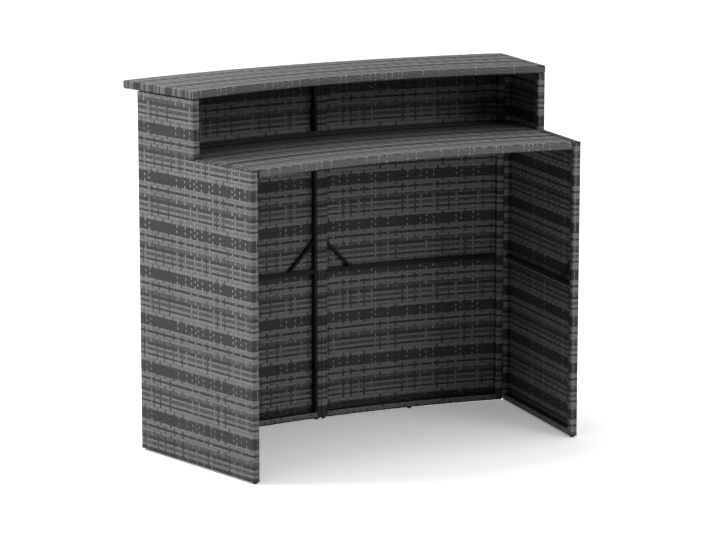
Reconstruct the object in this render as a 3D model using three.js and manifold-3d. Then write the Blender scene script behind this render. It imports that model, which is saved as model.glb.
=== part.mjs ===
// Curved woven bar with folding panels: two bowed front halves hinged to each other in the middle,
// a stepped wing hinged to the outer end of each half, and two lift-off tops, the counter and the worktop.
// Every panel is a frame of steel tube with a woven skin that wraps round it from the outside.
// Millimetres, +Z up, the customer's side is +Y. The origin is on the floor under the middle of the bar.
import * as THREE from "three";
import { mergeVertices } from "three/addons/utils/BufferGeometryUtils.js";
import Module from "manifold-3d";

// Overall sizes of the bar
const HEIGHT = 1100;
const WIDTH = 1295;
const WORKTOP_HEIGHT = 904;
const WING_LENGTH = 540;
const WING_UPPER_LENGTH = 272;
const WING_ANGLE = THREE.MathUtils.degToRad(9.87);
const FRONT_RADIUS = 2640;
const COUNTER_OVERHANG = 67;
const COUNTER_FAR_BOW = 75;
const COUNTER_NEAR_BOW = 92;
const WORKTOP_NEAR_BOW = 65;

// Stock: tube, woven strip and plate
const TUBE_DEPTH = 20;
const TUBE_WIDTH = 18;
const TOP_TUBE_HEIGHT = 22;
const TUBE_WALL = 1;
const WEAVE = 1.2;
const EDGE_RADIUS = 2.5;
const MID_BAR = 12;
const BRACE_DIAMETER = 11;
const LEDGE_LEG = 20;
const LEDGE_PLATE = 1.6;

// Heights and lengths inside the panels
const MID_RAIL_HEIGHT = 467;
const BRACE_LEG = 84;
const LEDGE_LENGTH = 340;
const LEDGE_SETBACK = 130;

// Hinges and their bolts
const HINGE_HEIGHT = 54;
const HINGE_LOW_INSET = 94;
const HINGE_TOP_INSET = 108;
const LEAF_PLATE = 1.2;
const LEAF_WIDTH = 26;
const KNUCKLE_RADIUS = 4;
const PIN_RADIUS = 2;
const PIN_STANDOFF = 5.5;
const BOLT_RADIUS = 2.5;
const NUT_RADIUS = 4.6;
const NUT_THICKNESS = 4;
const RIVET_TAIL = 3;

// Feet
const FOOT_HEIGHT = 4;
const FOOT_RADIUS = 7;
const FOOT_CHAMFER = 1;
const STEM_RADIUS = 3;
const STEM_LENGTH = 14;

// Clearances
const FIT = 0.3;
const LEAF_PLAY = 0.6;
const PIN_PLAY = 0.1;
const KNUCKLE_PLAY = 0.6;
const HOLE_PLAY = 0.4;
const WORKTOP_FRONT_GAP = 2.5;
const WORKTOP_SIDE_GAP = 3;
const CUT = 5;

// Facets of the arcs of the front, of the tops, of short arcs and of round pieces
const FRONT_ARC = 6;
const TOP_ARC = 11;
const SHORT_ARC = 1;
const ROUND = 16;
const EDGE_STEPS = 2;

// Sizes that follow from the ones above
const COVER = WEAVE + FIT;
const LIP = COVER + TUBE_WIDTH;
const PANEL = TUBE_DEPTH + 2 * COVER;
const TOP = TOP_TUBE_HEIGHT + 2 * COVER;
const TOP_LIP = COVER + TUBE_DEPTH;
const HINGE_GAP = 2 * (FIT + LEAF_PLATE) + LEAF_PLAY;
const FRONT_END = PANEL + HINGE_GAP;
const PANEL_BASE = FOOT_HEIGHT;
const PANEL_TOP = HEIGHT - TOP - FIT;
const FRONT_OUTER = FRONT_RADIUS;
const FRONT_INNER = FRONT_RADIUS - PANEL;
const FRONT_MIDDLE = FRONT_RADIUS - PANEL / 2;
const HINGE_BASES = [
  PANEL_BASE + HINGE_LOW_INSET - HINGE_HEIGHT / 2,
  PANEL_TOP - HINGE_TOP_INSET - HINGE_HEIGHT / 2,
];

const wasm = await Module();
wasm.setup();

// A geometry with only its positions left and its shared corners merged
function welded(geometry) {
  const bare = geometry.clone();
  bare.deleteAttribute("normal");
  bare.deleteAttribute("uv");
  return mergeVertices(bare);
}

// A closed geometry as a solid, and a solid as a geometry again
function solidOf(geometry) {
  const merged = welded(geometry);
  return new wasm.Manifold(
    new wasm.Mesh({
      numProp: 3,
      vertProperties: new Float32Array(merged.attributes.position.array),
      triVerts: new Uint32Array(merged.index.array),
    }),
  );
}

function geometryOf(solid) {
  const mesh = solid.getMesh();
  const geometry = new THREE.BufferGeometry();
  geometry.setAttribute("position", new THREE.BufferAttribute(mesh.vertProperties, 3));
  geometry.setIndex(new THREE.BufferAttribute(mesh.triVerts, 1));
  geometry.computeVertexNormals();
  return geometry;
}

function cut(geometry, ...tools) {
  return geometryOf(tools.reduce((left, tool) => left.subtract(solidOf(tool)), solidOf(geometry)));
}

function join(geometry, ...others) {
  return geometryOf(others.reduce((sum, other) => sum.add(solidOf(other)), solidOf(geometry)));
}

function common(geometry, other) {
  return geometryOf(solidOf(geometry).intersect(solidOf(other)));
}

// The same piece for the other side of the bar, with its faces still pointing out
function mirrored(geometry, axis) {
  const copy = welded(geometry);
  copy.scale(axis === "x" ? -1 : 1, axis === "y" ? -1 : 1, 1);
  const index = copy.index.array;
  for (let i = 0; i < index.length; i += 3) {
    [index[i], index[i + 1]] = [index[i + 1], index[i]];
  }
  copy.computeVertexNormals();
  return copy;
}

// Upright prism on a plan outline, with rounded rims where a radius is given
function prism(outline, low, high, segments, rim = 0) {
  const geometry = new THREE.ExtrudeGeometry(outline, {
    depth: high - low - 2 * rim,
    curveSegments: segments,
    bevelEnabled: rim > 0,
    bevelThickness: rim,
    bevelSize: rim,
    bevelOffset: -rim,
    bevelSegments: EDGE_STEPS,
  });
  return geometry.translate(0, 0, low + rim);
}

function block(x0, x1, y0, y1, z0, z1) {
  const geometry = new THREE.BoxGeometry(x1 - x0, y1 - y0, z1 - z0);
  return geometry.translate((x0 + x1) / 2, (y0 + y1) / 2, (z0 + z1) / 2);
}

// Round bar along X, Y or Z, centred on a point
function bar(radius, length, axis, x, y, z, sides = ROUND) {
  const geometry = welded(new THREE.CylinderGeometry(radius, radius, length, sides));
  if (axis === "x") geometry.rotateZ(Math.PI / 2);
  if (axis === "z") geometry.rotateX(Math.PI / 2);
  return geometry.translate(x, y, z);
}

// Plan geometry of the left side: a wing's own frame has U running from its far end to the server's side
// and N running inwards from its outer face
const wingCorner = new THREE.Vector2(-WIDTH / 2, 0);
const alongU = new THREE.Vector2(Math.sin(WING_ANGLE), -Math.cos(WING_ANGLE));
const alongN = new THREE.Vector2(Math.cos(WING_ANGLE), Math.sin(WING_ANGLE));

function wingPoint(u, n) {
  return wingCorner.clone().addScaledVector(alongU, u).addScaledVector(alongN, n);
}

// Where the line at a constant N meets a circle round (0, centre), on the customer's side
function meetN(centre, radius, n) {
  const from = wingPoint(0, n).sub(new THREE.Vector2(0, centre));
  const along = from.dot(alongU);
  const u = -along - Math.sqrt(along * along - from.lengthSq() + radius * radius);
  return wingPoint(u, n);
}

function angleOf(point, centre) {
  return Math.atan2(point.y - centre, point.x);
}

const frontEnd = wingPoint(0, FRONT_END);
const FRONT_CENTRE = frontEnd.y - Math.sqrt(FRONT_OUTER ** 2 - frontEnd.x ** 2);

// The two kinds of end of a bowed piece: parallel to the middle seam, or parallel to the wing
const seamEdge = (x) => (radius) => Math.acos(-x / radius);
const wingEdge = (n) => (radius) => angleOf(meetN(FRONT_CENTRE, radius, n), FRONT_CENTRE);

function bow(inner, outer, oneEnd, otherEnd) {
  const outline = new THREE.Shape();
  const [from, to] = oneEnd(outer) < otherEnd(outer) ? [oneEnd, otherEnd] : [otherEnd, oneEnd];
  outline.absarc(0, FRONT_CENTRE, outer, from(outer), to(outer), false);
  outline.absarc(0, FRONT_CENTRE, inner, to(inner), from(inner), true);
  return outline;
}

const materials = {
  weave: { color: 0x5c5e60, roughness: 0.62, metalness: 0 },
  steel: { color: 0x16171a, roughness: 0.45, metalness: 0.6 },
  zinc: { color: 0x8d9094, roughness: 0.35, metalness: 0.9 },
  rubber: { color: 0x101011, roughness: 0.8, metalness: 0 },
};

function place(parent, name, geometry, kind) {
  const mesh = new THREE.Mesh(geometry, new THREE.MeshStandardMaterial(materials[kind]));
  mesh.name = name;
  parent.add(mesh);
  return mesh;
}

// Hinge leaf round a pin that stands on the origin, with its plate running along +X on one side of it.
// One leaf of each hinge carries the pin and the two outer knuckles, the other the middle knuckle.
function hingeLeaf(side, carriesPin, tail) {
  const third = HINGE_HEIGHT / 3;
  const near = (side * LEAF_PLAY) / 2;
  const far = near + side * LEAF_PLATE;
  const low = Math.min(near, far);
  const high = Math.max(near, far);
  const root = KNUCKLE_RADIUS + KNUCKLE_PLAY;
  const middle = HINGE_HEIGHT / 2;
  const boltX = PIN_STANDOFF + PANEL / 2;
  const pieces = [];
  const spans = carriesPin
    ? [
        [0, third - KNUCKLE_PLAY / 2],
        [2 * third + KNUCKLE_PLAY / 2, HINGE_HEIGHT],
      ]
    : [[third + KNUCKLE_PLAY / 2, 2 * third - KNUCKLE_PLAY / 2]];
  for (const [z0, z1] of spans) {
    pieces.push(block(0, root + FIT, low, high, z0, z1));
    pieces.push(bar(KNUCKLE_RADIUS, z1 - z0, "z", 0, 0, (z0 + z1) / 2));
  }
  if (carriesPin) pieces.push(bar(PIN_RADIUS, HINGE_HEIGHT, "z", 0, 0, middle));
  const reach = tail + LEAF_PLATE / 2;
  const boltY = side * (Math.abs(far) - LEAF_PLATE / 2 + reach / 2);
  pieces.push(bar(BOLT_RADIUS, reach, "y", boltX, boltY, middle, 12));
  if (tail > TUBE_WIDTH) {
    const nutY = side * (Math.abs(far) + tail - NUT_THICKNESS / 2);
    pieces.push(bar(NUT_RADIUS, NUT_THICKNESS, "y", boltX, nutY, middle, 6));
  }
  const leaf = join(block(root, LEAF_WIDTH, low, high, 0, HINGE_HEIGHT), ...pieces);
  return carriesPin ? leaf : cut(leaf, bar(PIN_RADIUS + PIN_PLAY, HINGE_HEIGHT, "z", 0, 0, middle));
}

// A bolt runs from its leaf through the skin and the post to a nut on the post's bare side,
// a rivet ends just inside the post's first wall
const BOLT_TAIL = FIT + WEAVE + FIT + TUBE_WIDTH + FIT + NUT_THICKNESS;
const RIVET_LENGTH = FIT + WEAVE + FIT + TUBE_WALL + RIVET_TAIL;

function foot() {
  const top = FOOT_HEIGHT - FIT;
  const profile = [
    new THREE.Vector2(0, 0),
    new THREE.Vector2(FOOT_RADIUS - FOOT_CHAMFER, 0),
    new THREE.Vector2(FOOT_RADIUS, FOOT_CHAMFER),
    new THREE.Vector2(FOOT_RADIUS, top),
    new THREE.Vector2(STEM_RADIUS, top),
    new THREE.Vector2(STEM_RADIUS, top + STEM_LENGTH),
    new THREE.Vector2(0, top + STEM_LENGTH),
  ];
  return welded(new THREE.LatheGeometry(profile, ROUND)).rotateX(Math.PI / 2);
}

function stemHole(x, y) {
  return bar(STEM_RADIUS + HOLE_PLAY, 2 * CUT, "z", x, y, PANEL_BASE, 12);
}

// Bowed front half, built on the left of the seam. The skin is a tray that is open to the server's side:
// outer sheet, four edge walls and a lip that covers the inner face of the frame.
function frontHalf(side, label) {
  const half = new THREE.Group();
  const turn = (geometry) => (side < 0 ? geometry : mirrored(geometry, "x"));
  const seam = HINGE_GAP / 2;
  const tubeIn = FRONT_INNER + COVER;
  const tubeOut = FRONT_OUTER - COVER;
  const postX = -(seam + COVER + TUBE_WIDTH / 2);
  const postY = FRONT_CENTRE + FRONT_MIDDLE;
  const endFrame = wingPoint(PANEL / 2, FRONT_END + LIP / 2);

  const boltHoles = HINGE_BASES.flatMap((base) => {
    const z = base + HINGE_HEIGHT / 2;
    const hole = BOLT_RADIUS + HOLE_PLAY;
    const endHole = bar(hole, 2 * LIP, "x", 0, 0, z, 12);
    endHole.rotateZ(WING_ANGLE).translate(endFrame.x, endFrame.y, 0);
    return [bar(hole, 2 * LIP, "x", -seam - LIP / 2, postY, z, 12), endHole];
  });

  const post = (edge, from) => {
    const outline = bow(tubeIn, tubeOut, edge(from), edge(from + TUBE_WIDTH));
    const inside = edge(from + TUBE_WIDTH - TUBE_WALL);
    outline.holes.push(bow(tubeIn + TUBE_WALL, tubeOut - TUBE_WALL, edge(from + TUBE_WALL), inside));
    return cut(prism(outline, PANEL_BASE + COVER, PANEL_TOP - COVER, SHORT_ARC), ...boltHoles);
  };

  const span = (inset, trim, inner, outer, low, high) =>
    prism(bow(inner, outer, seamEdge(seam + inset + trim), wingEdge(FRONT_END + inset + trim)), low, high, FRONT_ARC);

  const rail = (low, ...holes) => {
    const outside = span(LIP, FIT, tubeIn, tubeOut, low, low + TUBE_WIDTH);
    const wallLow = low + TUBE_WALL;
    const wallHigh = low + TUBE_WIDTH - TUBE_WALL;
    const inside = span(LIP, -CUT, tubeIn + TUBE_WALL, tubeOut - TUBE_WALL, wallLow, wallHigh);
    return cut(outside, inside, ...holes);
  };

  const middleAngle = (seamEdge(seam)(FRONT_MIDDLE) + wingEdge(FRONT_END)(FRONT_MIDDLE)) / 2;
  const middleX = FRONT_MIDDLE * Math.cos(middleAngle);
  const middleY = FRONT_CENTRE + FRONT_MIDDLE * Math.sin(middleAngle);
  const stems = [stemHole(postX, postY), stemHole(middleX, middleY)];

  const skin = cut(
    span(0, 0, FRONT_INNER, FRONT_OUTER, PANEL_BASE, PANEL_TOP),
    span(WEAVE, 0, FRONT_INNER + WEAVE, FRONT_OUTER - WEAVE, PANEL_BASE + WEAVE, PANEL_TOP - WEAVE),
    span(LIP, 0, FRONT_INNER - CUT, FRONT_INNER + CUT, PANEL_BASE + LIP, PANEL_TOP - LIP),
    ...boltHoles,
    ...stems,
  );
  place(half, `${label}_skin`, turn(skin), "weave");
  place(half, `${label}_seam_post`, turn(post(seamEdge, seam + COVER)), "steel");
  place(half, `${label}_end_post`, turn(post(wingEdge, FRONT_END + COVER)), "steel");
  place(half, `${label}_bottom_rail`, turn(rail(PANEL_BASE + COVER, stems[1])), "steel");
  place(half, `${label}_top_rail`, turn(rail(PANEL_TOP - COVER - TUBE_WIDTH)), "steel");

  const barIn = FRONT_MIDDLE - MID_BAR / 2;
  const barTop = MID_RAIL_HEIGHT + MID_BAR / 2;
  const midRail = span(LIP, FIT, barIn, barIn + MID_BAR, MID_RAIL_HEIGHT - MID_BAR / 2, barTop);
  place(half, `${label}_mid_rail`, turn(midRail), "steel");

  const braceX = -(seam + LIP + FIT);
  place(half, `${label}_brace`, turn(braceRod(braceX, -1, postY, barTop + FIT)), "steel");

  for (const [end, x, y] of [
    ["seam", postX, postY],
    ["middle", middleX, middleY],
  ]) {
    place(half, `${label}_${end}_foot`, turn(foot().translate(x, y, 0)), "rubber");
  }
  return half;
}

// Diagonal rod in the corner between an upright face and the mid rail below it
function braceRod(faceX, direction, y, lowZ) {
  const reach = BRACE_LEG + 2 * BRACE_DIAMETER;
  const rod = bar(BRACE_DIAMETER / 2, 3 * BRACE_LEG, "z", 0, 0, 0, 12);
  rod.rotateY((-direction * Math.PI) / 4);
  rod.translate(faceX + (direction * BRACE_LEG) / 2, y, lowZ + BRACE_LEG / 2);
  const x = [faceX, faceX + direction * reach].sort((a, b) => a - b);
  return common(rod, block(x[0], x[1], y - BRACE_DIAMETER, y + BRACE_DIAMETER, lowZ, lowZ + reach));
}

// Stepped side of a wing, drawn in its own plane and set in by the same distance all round
function wingOutline(inset) {
  return new THREE.Shape([
    new THREE.Vector2(inset, PANEL_BASE + inset),
    new THREE.Vector2(WING_LENGTH - inset, PANEL_BASE + inset),
    new THREE.Vector2(WING_LENGTH - inset, WORKTOP_HEIGHT - inset),
    new THREE.Vector2(WING_UPPER_LENGTH - inset, WORKTOP_HEIGHT - inset),
    new THREE.Vector2(WING_UPPER_LENGTH - inset, PANEL_TOP - inset),
    new THREE.Vector2(inset, PANEL_TOP - inset),
  ]);
}

function wingSlab(inset, from, to, rim = 0) {
  return prism(wingOutline(inset), -to, -from, SHORT_ARC, rim).rotateX(Math.PI / 2);
}

// Straight square tube that stands on the origin, open at both ends
function tube(length) {
  const section = new THREE.Shape();
  const hollow = new THREE.Path();
  for (const [path, inset] of [
    [section, 0],
    [hollow, TUBE_WALL],
  ]) {
    const x = TUBE_WIDTH / 2 - inset;
    const y = TUBE_DEPTH / 2 - inset;
    path.moveTo(-x, -y);
    path.lineTo(x, -y);
    path.lineTo(x, y);
    path.lineTo(-x, y);
    path.closePath();
  }
  section.holes.push(hollow);
  return new THREE.ExtrudeGeometry(section, { depth: length, bevelEnabled: false });
}

// Wing, built for the left: X is U, Y is N
function wing(side, label) {
  const group = new THREE.Group();
  group.position.set((side * WIDTH) / 2, 0, 0);
  group.rotation.z = -Math.PI / 2 - side * WING_ANGLE;
  const turn = (geometry) => (side < 0 ? geometry : mirrored(geometry, "y"));
  const middle = PANEL / 2;
  const axis = COVER + TUBE_WIDTH / 2;
  const base = PANEL_BASE + COVER;
  const nearAxis = WING_LENGTH - axis;
  const stepAxis = WING_UPPER_LENGTH - axis;

  const rivetHoles = HINGE_BASES.map((z) =>
    bar(BOLT_RADIUS + HOLE_PLAY, PANEL, "y", PANEL / 2, PANEL, z + HINGE_HEIGHT / 2, 12),
  );
  const stem = stemHole(nearAxis, middle);
  const upright = (u, low, high) => tube(high - low).translate(u, middle, low);
  const level = (from, to, z) => tube(to - from).rotateY(Math.PI / 2).translate(from, middle, z);

  const skin = cut(
    wingSlab(0, 0, PANEL, EDGE_RADIUS),
    wingSlab(WEAVE, WEAVE, PANEL - WEAVE),
    wingSlab(LIP, PANEL - CUT, PANEL + CUT),
    ...rivetHoles,
    stem,
  );
  place(group, `${label}_skin`, turn(skin), "weave");

  const farPost = cut(upright(axis, base, PANEL_TOP - COVER), ...rivetHoles);
  place(group, `${label}_far_post`, turn(farPost), "steel");
  place(group, `${label}_near_post`, turn(upright(nearAxis, base, WORKTOP_HEIGHT - COVER)), "steel");

  const stepLow = WORKTOP_HEIGHT - LIP;
  const inFar = LIP + FIT;
  const inNear = WING_LENGTH - LIP - FIT;
  const stepTube = join(
    upright(stepAxis, stepLow, PANEL_TOP - COVER),
    level(WING_UPPER_LENGTH - COVER - TUBE_WALL / 2, inNear, WORKTOP_HEIGHT - axis),
  );
  place(group, `${label}_step_tube`, turn(stepTube), "steel");
  place(group, `${label}_top_rail`, turn(level(inFar, WING_UPPER_LENGTH - LIP - FIT, PANEL_TOP - axis)), "steel");
  place(group, `${label}_bottom_rail`, turn(level(inFar, inNear, PANEL_BASE + axis)), "steel");

  const barHalf = MID_BAR / 2;
  const barTop = MID_RAIL_HEIGHT + barHalf;
  const midRail = block(inFar, inNear, middle - barHalf, middle + barHalf, MID_RAIL_HEIGHT - barHalf, barTop);
  place(group, `${label}_mid_rail`, turn(midRail), "steel");
  place(group, `${label}_brace`, turn(braceRod(inNear, -1, middle, barTop + FIT)), "steel");
  place(group, `${label}_foot`, turn(foot().translate(nearAxis, middle, 0)), "rubber");

  // Angle that carries one end of the worktop: its upright leg is fixed to the step rail
  const rest = WORKTOP_HEIGHT - TOP - FIT;
  const face = PANEL + FIT;
  const ledgeNear = WING_LENGTH - LEDGE_SETBACK;
  const ledge = join(
    block(ledgeNear - LEDGE_LENGTH, ledgeNear, face, face + LEDGE_LEG, rest - LEDGE_PLATE, rest),
    block(ledgeNear - LEDGE_LENGTH, ledgeNear, face, face + LEDGE_PLATE, rest - LEDGE_PLATE, rest + LEDGE_LEG - LEDGE_PLATE),
  );
  place(group, `${label}_ledge`, turn(ledge), "steel");

  // Corner hinges: the wing's leaf is riveted to its far post, the front's leaf is bolted through the end post
  HINGE_BASES.forEach((z, i) => {
    const level = i ? "top" : "low";
    const spot = [-PIN_STANDOFF, -side * (PANEL + HINGE_GAP / 2), z];
    place(group, `${label}_${level}_hinge_wing_leaf`, hingeLeaf(side, false, RIVET_LENGTH), "zinc").position.set(...spot);
    place(group, `${label}_${level}_hinge_front_leaf`, hingeLeaf(-side, true, BOLT_TAIL), "zinc").position.set(...spot);
  });
  return group;
}

// Lift-off top: a tray of weave that is open below, on a frame of two bowed rails and two straight ends.
// far and near are the two bowed edges as circles, end is how far in from the wings' outer faces it stops.
function circleThrough(point, bowHeight) {
  const radius = (point.x ** 2 + bowHeight ** 2) / (2 * bowHeight);
  return { radius, centre: point.y + bowHeight - radius };
}

function top(label, far, near, end, height) {
  const group = new THREE.Group();
  const low = height - TOP;

  const band = (outer, inner, inset) => {
    const [a, b] = [outer, inner].map((c) => angleOf(meetN(c.centre, c.radius, end + inset), c.centre));
    const outline = new THREE.Shape();
    outline.absarc(0, outer.centre, outer.radius, Math.PI - a, a, false);
    outline.absarc(0, inner.centre, inner.radius, b, Math.PI - b, true);
    return outline;
  };
  const grown = (circle, by) => ({ radius: circle.radius + by, centre: circle.centre });
  const outline = (inset) => band(grown(far, -inset), grown(near, inset), inset);

  const skin = cut(
    prism(outline(0), low, height, TOP_ARC, EDGE_RADIUS),
    prism(outline(WEAVE), low + WEAVE, height - WEAVE, TOP_ARC),
    prism(outline(TOP_LIP), low - CUT, low + CUT, TOP_ARC),
  );
  place(group, `${label}_skin`, skin, "weave");

  const railLow = low + COVER;
  const railHigh = height - COVER;
  const rail = (outer, inner) => {
    const outside = prism(band(outer, inner, COVER), railLow, railHigh, TOP_ARC);
    const hollow = band(grown(outer, -TUBE_WALL), grown(inner, TUBE_WALL), COVER - CUT);
    return cut(outside, prism(hollow, railLow + TUBE_WALL, railHigh - TUBE_WALL, TOP_ARC));
  };
  const farInside = grown(far, -TOP_LIP);
  const nearInside = grown(near, TOP_LIP);
  place(group, `${label}_far_rail`, rail(grown(far, -COVER), farInside), "steel");
  place(group, `${label}_near_rail`, rail(nearInside, grown(near, COVER)), "steel");

  const endBar = (inset, width, trim) => {
    const corner = (circle, n) => meetN(circle.centre, circle.radius, n);
    const [n0, n1] = [end + inset, end + inset + width];
    const farTrim = grown(farInside, -trim);
    const nearTrim = grown(nearInside, trim);
    return new THREE.Shape([corner(farTrim, n0), corner(nearTrim, n0), corner(nearTrim, n1), corner(farTrim, n1)]);
  };
  const endRail = cut(
    prism(endBar(COVER, TUBE_DEPTH, FIT), railLow, railHigh, SHORT_ARC),
    prism(
      endBar(COVER + TUBE_WALL, TUBE_DEPTH - 2 * TUBE_WALL, -CUT),
      railLow + TUBE_WALL,
      railHigh - TUBE_WALL,
      SHORT_ARC,
    ),
  );
  place(group, `${label}_left_rail`, endRail, "steel");
  place(group, `${label}_right_rail`, mirrored(endRail, "x"), "steel");
  return group;
}

const portableBar = new THREE.Group();
portableBar.add(frontHalf(-1, "front_left"));
portableBar.add(frontHalf(1, "front_right"));
portableBar.add(wing(-1, "wing_left"));
portableBar.add(wing(1, "wing_right"));

// Middle hinges: their pins stand off the customer's side of the seam
const middleHinges = new THREE.Group();
middleHinges.position.set(0, FRONT_CENTRE + FRONT_OUTER + PIN_STANDOFF, 0);
middleHinges.rotation.z = -Math.PI / 2;
HINGE_BASES.forEach((z, i) => {
  const level = i ? "top" : "low";
  place(middleHinges, `middle_${level}_hinge_left_leaf`, hingeLeaf(-1, false, BOLT_TAIL), "zinc").position.z = z;
  place(middleHinges, `middle_${level}_hinge_right_leaf`, hingeLeaf(1, true, BOLT_TAIL), "zinc").position.z = z;
});
portableBar.add(middleHinges);

const counterFar = circleThrough(wingPoint(-COUNTER_OVERHANG, 0), COUNTER_FAR_BOW);
const counterNear = circleThrough(wingPoint(WING_UPPER_LENGTH, 0), COUNTER_NEAR_BOW);
portableBar.add(top("counter", counterFar, counterNear, 0, HEIGHT));

const worktopEnd = PANEL + WORKTOP_SIDE_GAP;
const worktopFar = { radius: FRONT_INNER - WORKTOP_FRONT_GAP, centre: FRONT_CENTRE };
const worktopNear = circleThrough(wingPoint(WING_LENGTH, worktopEnd), WORKTOP_NEAR_BOW);
portableBar.add(top("worktop", worktopFar, worktopNear, worktopEnd, WORKTOP_HEIGHT));

// The origin goes to the floor under the middle of the bar
const extent = new THREE.Box3().setFromObject(portableBar, true);
portableBar.position.y = -(extent.min.y + extent.max.y) / 2;

export default portableBar;
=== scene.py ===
import math
import random

import bpy
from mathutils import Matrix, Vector


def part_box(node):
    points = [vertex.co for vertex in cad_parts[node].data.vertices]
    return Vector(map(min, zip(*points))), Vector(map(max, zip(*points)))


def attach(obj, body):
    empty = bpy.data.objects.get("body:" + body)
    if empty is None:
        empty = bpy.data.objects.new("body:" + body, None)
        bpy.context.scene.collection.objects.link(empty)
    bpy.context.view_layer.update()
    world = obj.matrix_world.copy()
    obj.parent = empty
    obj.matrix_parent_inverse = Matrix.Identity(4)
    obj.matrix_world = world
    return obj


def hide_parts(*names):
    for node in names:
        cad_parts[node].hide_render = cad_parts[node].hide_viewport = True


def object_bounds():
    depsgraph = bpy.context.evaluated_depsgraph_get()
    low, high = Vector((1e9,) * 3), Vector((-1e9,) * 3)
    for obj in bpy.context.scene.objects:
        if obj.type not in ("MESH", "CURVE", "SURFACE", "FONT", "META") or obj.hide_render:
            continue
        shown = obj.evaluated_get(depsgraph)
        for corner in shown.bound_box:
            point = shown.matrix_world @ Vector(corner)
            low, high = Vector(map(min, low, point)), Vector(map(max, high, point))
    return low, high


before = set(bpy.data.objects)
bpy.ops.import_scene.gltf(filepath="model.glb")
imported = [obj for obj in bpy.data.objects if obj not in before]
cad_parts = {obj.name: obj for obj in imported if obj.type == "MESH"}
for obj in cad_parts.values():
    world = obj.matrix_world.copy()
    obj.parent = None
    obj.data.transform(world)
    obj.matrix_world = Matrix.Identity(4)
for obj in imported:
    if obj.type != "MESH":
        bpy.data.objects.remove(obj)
cad_low, cad_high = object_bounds()


# Frame: each panel and each top is a ring of black steel tube, 20 by 18 mm, welded at its corners.
# A 12 mm mid rail and short diagonal rods stiffen the panels, and the whole ring is powder coated
# before any strip is woven on it.
COAT_COLOUR = (0.012, 0.012, 0.013, 1)
COAT_RUBBED = (0.020, 0.020, 0.021, 1)
COAT_SHEEN = 0.15
PLAIN_SHEEN = 0.5
RUBBED_FROM, RUBBED_TO = 0.45, 0.75
GLOSS_SPREAD = 0.07


def add(tree, kind, inputs=None, **options):
    node = tree.nodes.new(kind)
    for option, value in options.items():
        setattr(node, option, value)
    for socket, value in (inputs or {}).items():
        if isinstance(value, bpy.types.NodeSocket):
            tree.links.new(value, node.inputs[socket])
        else:
            node.inputs[socket].default_value = value
    return node


def new_finish(name):
    finish = bpy.data.materials.new(name)
    finish.use_nodes = True
    tree = finish.node_tree
    return finish, tree, tree.nodes["Principled BSDF"]


def speckled_finish(name, colour, rubbed, patch, grain, relief, roughness, metallic=0.0, sheen=PLAIN_SHEEN):
    """A finish with rubbed patches and a fine grain, given by their scales and the height of the grain."""
    finish, tree, shader = new_finish(name)
    place = add(tree, "ShaderNodeTexCoord").outputs["Object"]
    cloud = add(tree, "ShaderNodeTexNoise", {"Vector": place, "Scale": patch, "Detail": 4.0}).outputs["Fac"]
    worn = add(tree, "ShaderNodeMapRange", {"Value": cloud, "From Min": RUBBED_FROM, "From Max": RUBBED_TO})
    shades = {"Factor": worn.outputs["Result"], "A": colour, "B": rubbed}
    tint = add(tree, "ShaderNodeMix", shades, data_type="RGBA")
    tree.links.new(tint.outputs["Result"], shader.inputs["Base Color"])
    fine = add(tree, "ShaderNodeTexNoise", {"Vector": place, "Scale": grain, "Detail": 2.0}).outputs["Fac"]
    span = {"Value": fine, "To Min": roughness - GLOSS_SPREAD, "To Max": roughness + GLOSS_SPREAD}
    gloss = add(tree, "ShaderNodeMapRange", span)
    tree.links.new(gloss.outputs["Result"], shader.inputs["Roughness"])
    bump = add(tree, "ShaderNodeBump", {"Height": fine, "Strength": 0.5, "Distance": relief})
    tree.links.new(bump.outputs["Normal"], shader.inputs["Normal"])
    shader.inputs["Metallic"].default_value = metallic
    shader.inputs["Specular IOR Level"].default_value = sheen
    return finish


def dress(nodes, finish):
    for name in nodes:
        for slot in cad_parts[name].material_slots:
            slot.material = finish


powder_coat = speckled_finish(
    "black powder coat",
    COAT_COLOUR,
    COAT_RUBBED,
    patch=14.0,
    grain=1100.0,
    relief=0.00008,
    roughness=0.34,
    sheen=COAT_SHEEN,
)
dress([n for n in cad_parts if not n.endswith(("_skin", "_foot", "_leaf"))], powder_coat)


# Front: two bowed halves side by side, woven with flat grey plastic strip. Rows run level from post to
# post: they end on the server's side of the seam post, and at the other end go on round the end post.
# Narrow strands stand between the rows, over one and under the next.

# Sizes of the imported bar
WIDTH = 1.295
WING_ANGLE = math.radians(9.87)
FRONT_RADIUS = 2.640
PANEL = 0.023
LIP = 0.0195
HINGE_GAP = 0.0036
COUNTER_OVERHANG = 0.067
COUNTER_FAR_BOW = 0.075

# Sizes of the weave
STRIP_THICKNESS = 0.0009
STRAND_THICKNESS = 0.0005
SWAY = 0.00045
LEVEL_APART = 0.00006
INSET = 0.00040
CORNER = 0.0045
PLATEAU = 0.0030
LAP = 0.0003

# Colour of a strip: what its lot, its fading and its grooves each add, and the painted shade on its rims
STRIP_SHEEN = 0.35
FADE_SCALE = (9.0, 0.0, 3.1)
GROOVE_SCALE = (22.0, 1500.0, 5.7)
LOT_SHARE, FADE_SHARE, GROOVE_SHARE = 0.35, 0.35, 0.55
SHADES_FROM, SHADES_TO = 0.025, 0.675
ROUGH_FROM, ROUGH_TO = 0.42, 0.68
# Painted shade on a strip's rims ramps in across this part of its half breadth
PAINTED_RIM_SHADE_FROM, PAINTED_RIM_SHADE_TO = 0.70, 0.96
GROOVE_DEPTH = 0.00012
FAINT = 0.25

# Tones, and the inputs of the weaving tree that take their finishes
DARK, MIDDLE, LIGHT, PALE = 0, 1, 2, 3
TONE_INPUTS = ["Dark strip", "Middle strip", "Light strip", "Pale strand"]

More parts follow.
